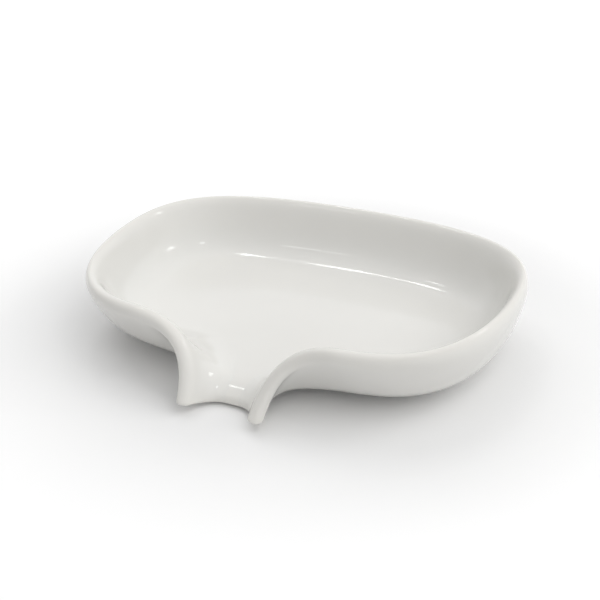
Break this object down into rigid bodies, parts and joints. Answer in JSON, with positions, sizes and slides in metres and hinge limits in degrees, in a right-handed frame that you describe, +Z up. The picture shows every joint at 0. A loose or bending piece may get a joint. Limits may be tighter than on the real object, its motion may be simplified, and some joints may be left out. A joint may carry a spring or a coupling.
{
  "type": "soap dish",
  "caption": "Low oval glazed ceramic soap dish with a rounded rim that dips at the front into a short pouring spout, resting on soft pads.",
  "frame": {"origin": "on the table, under the middle of the dish's length and depth", "axes": "+X along the length of the dish, +Y from the spout towards the back, +Z up"},
  "size_m": [0.1294, 0.1022, 0.0237],
  "materials": {
    "porcelain": "gloss",
    "silicone": "satin"
  },
  "bodies": {
    "root": {"porcelain_dish": "porcelain", "bumper_pad_front_left": "silicone", "bumper_pad_front_right": "silicone", "bumper_pad_back_left": "silicone", "bumper_pad_back_right": "silicone"}
  },
  "joints": []
}
